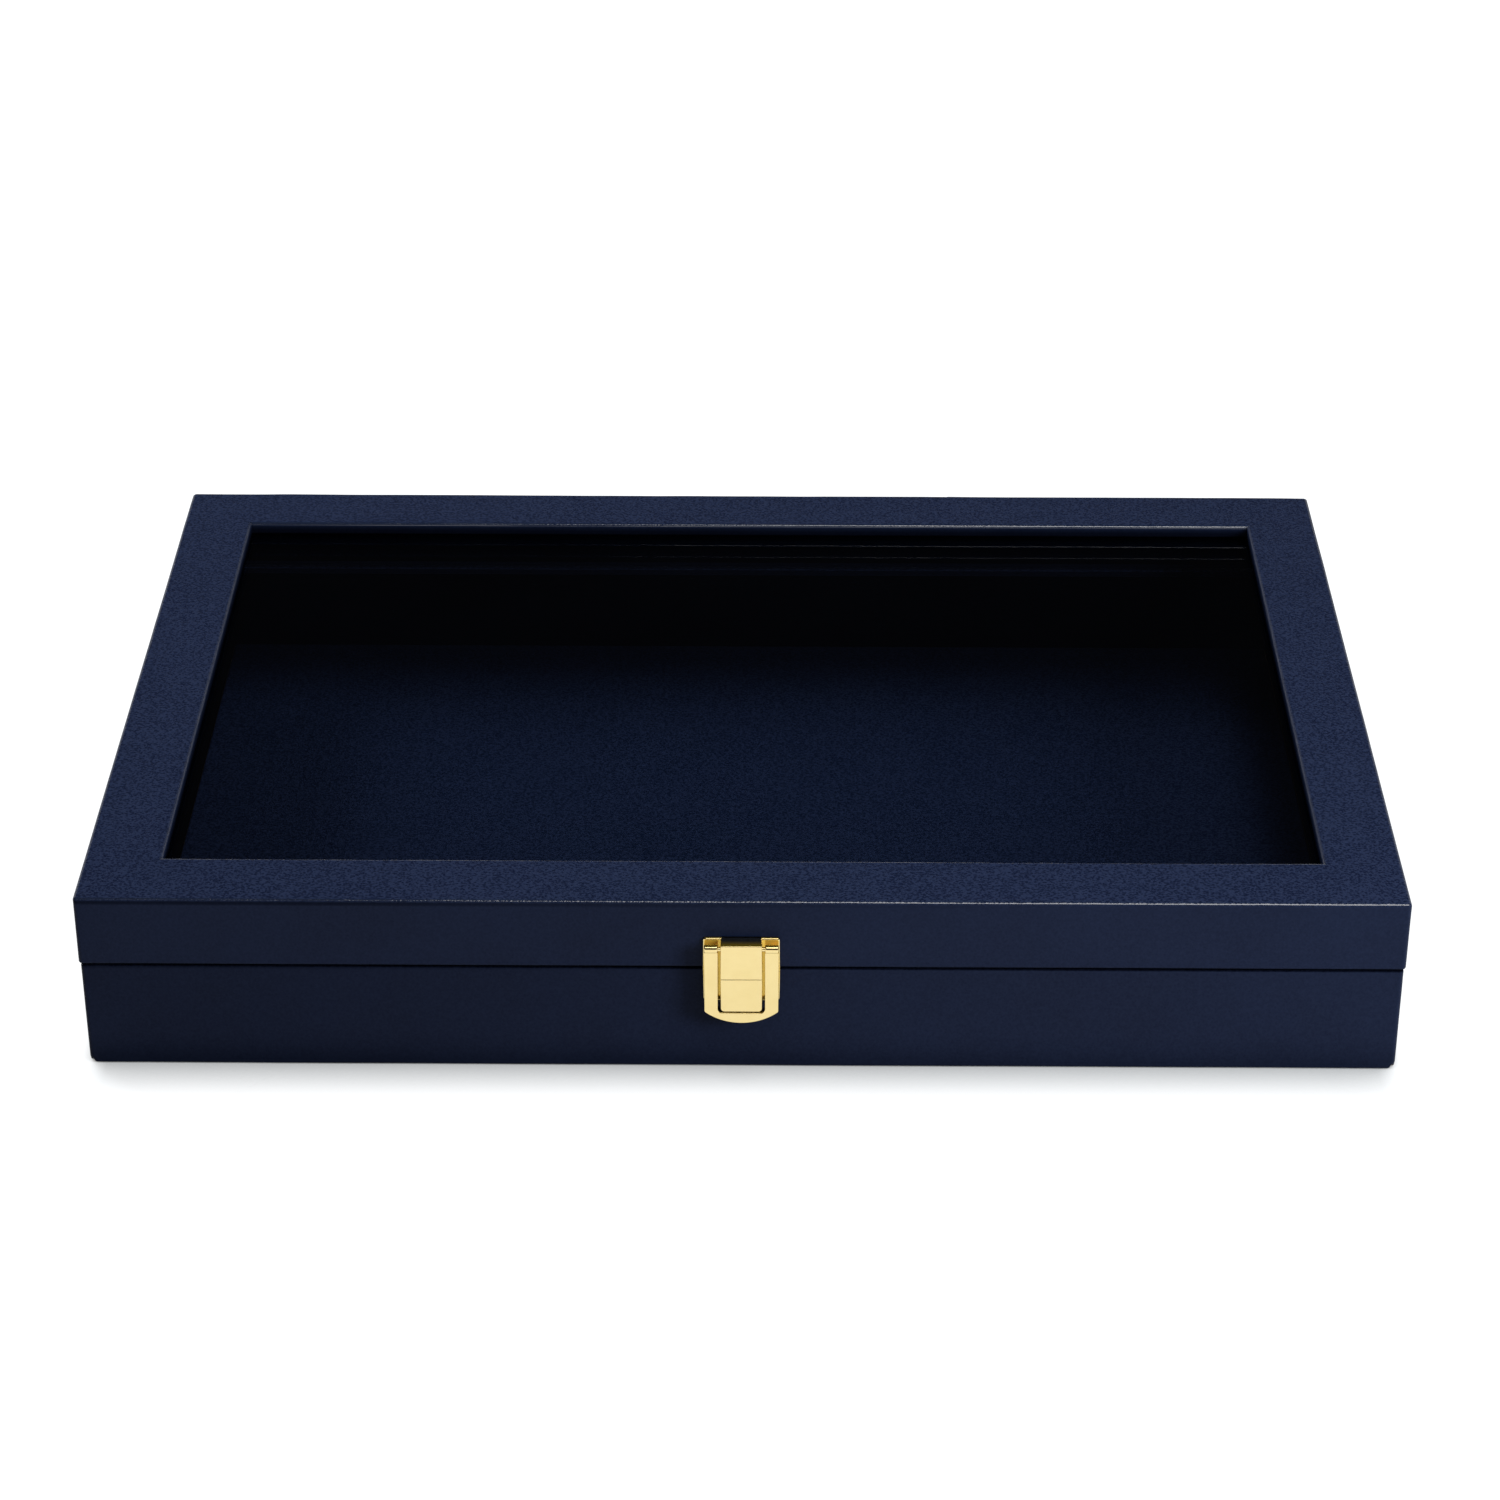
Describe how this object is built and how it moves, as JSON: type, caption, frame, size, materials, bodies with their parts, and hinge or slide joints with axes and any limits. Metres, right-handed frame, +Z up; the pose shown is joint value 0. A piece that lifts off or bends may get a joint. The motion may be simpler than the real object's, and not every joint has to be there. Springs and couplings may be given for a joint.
{
  "type": "jewelry display box",
  "caption": "Low leatherette-covered display case with a clear window lid, a gold clasp with a swing-down flap at the front and rear stop hinges.",
  "frame": {"origin": "centre of the footprint on the surface that the case stands on", "axes": "+X along the case's width to the right as seen from the front, +Y from the front with the clasp to the back with the hinges, +Z up"},
  "size_m": [0.35, 0.2507, 0.052],
  "materials": {
    "leatherette": "satin",
    "floor_leatherette": "satin",
    "dark_lining": "matte",
    "board": "matte",
    "underside": "matte",
    "pane": "polished",
    "gold": "polished",
    "hinge_brass": "polished"
  },
  "bodies": {
    "base": {"base_bottom_board": "board", "base_front_board": "board", "base_back_board": "board", "base_left_board": "board", "base_right_board": "board", "base_wrap": "leatherette", "base_floor_pad": "floor_leatherette", "underside_sheet": "underside", "base_front_lining": "dark_lining", "base_back_lining": "dark_lining", "base_left_lining": "dark_lining", "base_right_lining": "dark_lining", "clasp_catch_plate": "gold", "clasp_base_nails": "gold", "left_hinge_base_leaf": "hinge_brass", "left_hinge_pin": "hinge_brass", "right_hinge_base_leaf": "hinge_brass", "right_hinge_pin": "hinge_brass", "hinge_base_screws": "hinge_brass"},
    "lid": {"lid_top_board": "board", "lid_front_rail": "board", "lid_back_rail": "board", "lid_left_rail": "board", "lid_right_rail": "board", "lid_front_lining": "dark_lining", "lid_back_lining": "dark_lining", "lid_left_lining": "dark_lining", "lid_right_lining": "dark_lining", "pane_front_bead": "dark_lining", "pane_back_bead": "dark_lining", "pane_left_bead": "dark_lining", "pane_right_bead": "dark_lining", "lid_wrap": "leatherette", "window_pane": "pane", "clasp_hinge_plate": "gold", "clasp_pin": "gold", "clasp_lid_nails": "gold", "left_hinge_lid_leaf": "hinge_brass", "right_hinge_lid_leaf": "hinge_brass", "hinge_lid_screws": "hinge_brass"},
    "clasp_flap": {"clasp_flap": "gold"}
  },
  "joints": [
    {"name": "lid_hinge", "type": "hinge", "parent": "base", "child": "lid", "pos_m": [0, 0.1218, 0.0314], "axis": [-1, 0, 0], "range_deg": [0, 100]},
    {"name": "clasp_flap_hinge", "type": "hinge", "parent": "lid", "child": "clasp_flap", "pos_m": [0, -0.12395, 0.0399], "axis": [-1, 0, 0], "range_deg": [0, 180]}
  ]
}
